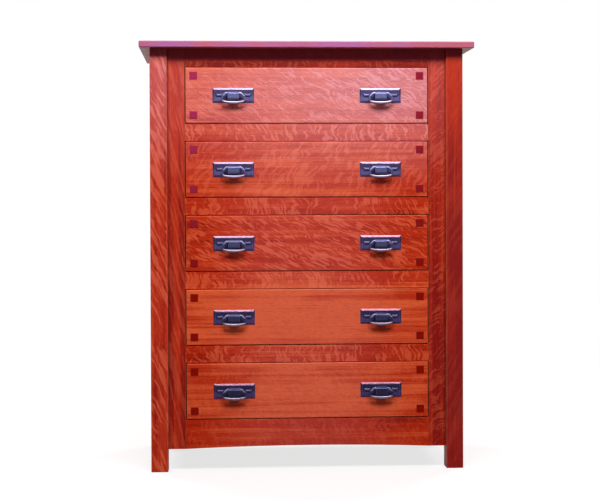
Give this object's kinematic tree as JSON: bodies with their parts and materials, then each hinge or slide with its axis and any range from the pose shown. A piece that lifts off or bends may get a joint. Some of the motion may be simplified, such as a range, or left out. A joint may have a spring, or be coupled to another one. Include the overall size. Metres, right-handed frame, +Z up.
{
  "type": "chest of drawers",
  "caption": "Tall oak chest with inset drawers that slide on wooden runners, square pegs, swinging metal bail pulls, square posts and an overhanging top.",
  "frame": {"origin": "middle of the chest's outline, on the floor under the feet", "axes": "+Z up, -Y out of the drawer fronts, +X to the right as seen from the front"},
  "size_m": [0.983, 0.508, 1.262],
  "materials": {
    "case_wood": "reddish stain under a clear satin to gloss coat",
    "inner_wood": "planed and waxed pale wood",
    "panel_board": "thin veneered board, clear sealer",
    "peg_wood": "dark stained end grain, satin",
    "pull_metal": "dark patinated casting, worn bright on its edges",
    "screw_steel": "bright zinc plated"
  },
  "bodies": {
    "root": {"top_panel": "case_wood", "post_front_left": "case_wood", "post_front_right": "case_wood", "post_rear_left": "case_wood", "post_rear_right": "case_wood", "stile_left": "case_wood", "stile_right": "case_wood", "top_rail": "case_wood", "drawer_rails": "case_wood", "arched_apron": "case_wood", "side_frame_left": "case_wood", "side_frame_right": "case_wood", "side_panels": "case_wood", "back_panel": "panel_board", "back_rails": "inner_wood", "drawer_runners": "inner_wood", "drawer_guides": "inner_wood", "drawer_stops": "inner_wood", "top_cleats": "inner_wood", "top_screws": "screw_steel"},
    "drawer_1": {"drawer_1_front": "case_wood", "drawer_1_box": "inner_wood", "drawer_1_bottom": "panel_board", "drawer_1_pegs": "peg_wood", "drawer_1_pull_plates": "pull_metal", "drawer_1_pull_screws": "screw_steel"},
    "drawer_1_bail_left": {"drawer_1_bail_left": "pull_metal"},
    "drawer_1_bail_right": {"drawer_1_bail_right": "pull_metal"},
    "drawer_2": {"drawer_2_front": "case_wood", "drawer_2_box": "inner_wood", "drawer_2_bottom": "panel_board", "drawer_2_pegs": "peg_wood", "drawer_2_pull_plates": "pull_metal", "drawer_2_pull_screws": "screw_steel"},
    "drawer_2_bail_left": {"drawer_2_bail_left": "pull_metal"},
    "drawer_2_bail_right": {"drawer_2_bail_right": "pull_metal"},
    "drawer_3": {"drawer_3_front": "case_wood", "drawer_3_box": "inner_wood", "drawer_3_bottom": "panel_board", "drawer_3_pegs": "peg_wood", "drawer_3_pull_plates": "pull_metal", "drawer_3_pull_screws": "screw_steel"},
    "drawer_3_bail_left": {"drawer_3_bail_left": "pull_metal"},
    "drawer_3_bail_right": {"drawer_3_bail_right": "pull_metal"},
    "drawer_4": {"drawer_4_front": "case_wood", "drawer_4_box": "inner_wood", "drawer_4_bottom": "panel_board", "drawer_4_pegs": "peg_wood", "drawer_4_pull_plates": "pull_metal", "drawer_4_pull_screws": "screw_steel"},
    "drawer_4_bail_left": {"drawer_4_bail_left": "pull_metal"},
    "drawer_4_bail_right": {"drawer_4_bail_right": "pull_metal"},
    "drawer_5": {"drawer_5_front": "case_wood", "drawer_5_box": "inner_wood", "drawer_5_bottom": "panel_board", "drawer_5_pegs": "peg_wood", "drawer_5_pull_plates": "pull_metal", "drawer_5_pull_screws": "screw_steel"},
    "drawer_5_bail_left": {"drawer_5_bail_left": "pull_metal"},
    "drawer_5_bail_right": {"drawer_5_bail_right": "pull_metal"}
  },
  "joints": [
    {"name": "drawer_1_slide", "type": "slide", "parent": "root", "child": "drawer_1", "axis": [0, -1, 0], "range_m": [0, 0.3]},
    {"name": "drawer_1_bail_left_hinge", "type": "hinge", "parent": "drawer_1", "child": "drawer_1_bail_left", "pos_m": [-0.217, -0.2325, 1.11165], "axis": [-1, 0, 0], "range_deg": [-16, 95]},
    {"name": "drawer_1_bail_right_hinge", "type": "hinge", "parent": "drawer_1", "child": "drawer_1_bail_right", "pos_m": [0.217, -0.2325, 1.11165], "axis": [-1, 0, 0], "range_deg": [-16, 95]},
    {"name": "drawer_2_slide", "type": "slide", "parent": "root", "child": "drawer_2", "axis": [0, -1, 0], "range_m": [0, 0.3]},
    {"name": "drawer_2_bail_left_hinge", "type": "hinge", "parent": "drawer_2", "child": "drawer_2_bail_left", "pos_m": [-0.217, -0.2325, 0.89405], "axis": [-1, 0, 0], "range_deg": [-16, 95]},
    {"name": "drawer_2_bail_right_hinge", "type": "hinge", "parent": "drawer_2", "child": "drawer_2_bail_right", "pos_m": [0.217, -0.2325, 0.89405], "axis": [-1, 0, 0], "range_deg": [-16, 95]},
    {"name": "drawer_3_slide", "type": "slide", "parent": "root", "child": "drawer_3", "axis": [0, -1, 0], "range_m": [0, 0.3]},
    {"name": "drawer_3_bail_left_hinge", "type": "hinge", "parent": "drawer_3", "child": "drawer_3_bail_left", "pos_m": [-0.217, -0.2325, 0.67645], "axis": [-1, 0, 0], "range_deg": [-16, 95]},
    {"name": "drawer_3_bail_right_hinge", "type": "hinge", "parent": "drawer_3", "child": "drawer_3_bail_right", "pos_m": [0.217, -0.2325, 0.67645], "axis": [-1, 0, 0], "range_deg": [-16, 95]},
    {"name": "drawer_4_slide", "type": "slide", "parent": "root", "child": "drawer_4", "axis": [0, -1, 0], "range_m": [0, 0.3]},
    {"name": "drawer_4_bail_left_hinge", "type": "hinge", "parent": "drawer_4", "child": "drawer_4_bail_left", "pos_m": [-0.217, -0.2325, 0.45885], "axis": [-1, 0, 0], "range_deg": [-16, 95]},
    {"name": "drawer_4_bail_right_hinge", "type": "hinge", "parent": "drawer_4", "child": "drawer_4_bail_right", "pos_m": [0.217, -0.2325, 0.45885], "axis": [-1, 0, 0], "range_deg": [-16, 95]},
    {"name": "drawer_5_slide", "type": "slide", "parent": "root", "child": "drawer_5", "axis": [0, -1, 0], "range_m": [0, 0.3]},
    {"name": "drawer_5_bail_left_hinge", "type": "hinge", "parent": "drawer_5", "child": "drawer_5_bail_left", "pos_m": [-0.217, -0.2325, 0.24125], "axis": [-1, 0, 0], "range_deg": [-16, 95]},
    {"name": "drawer_5_bail_right_hinge", "type": "hinge", "parent": "drawer_5", "child": "drawer_5_bail_right", "pos_m": [0.217, -0.2325, 0.24125], "axis": [-1, 0, 0], "range_deg": [-16, 95]}
  ]
}
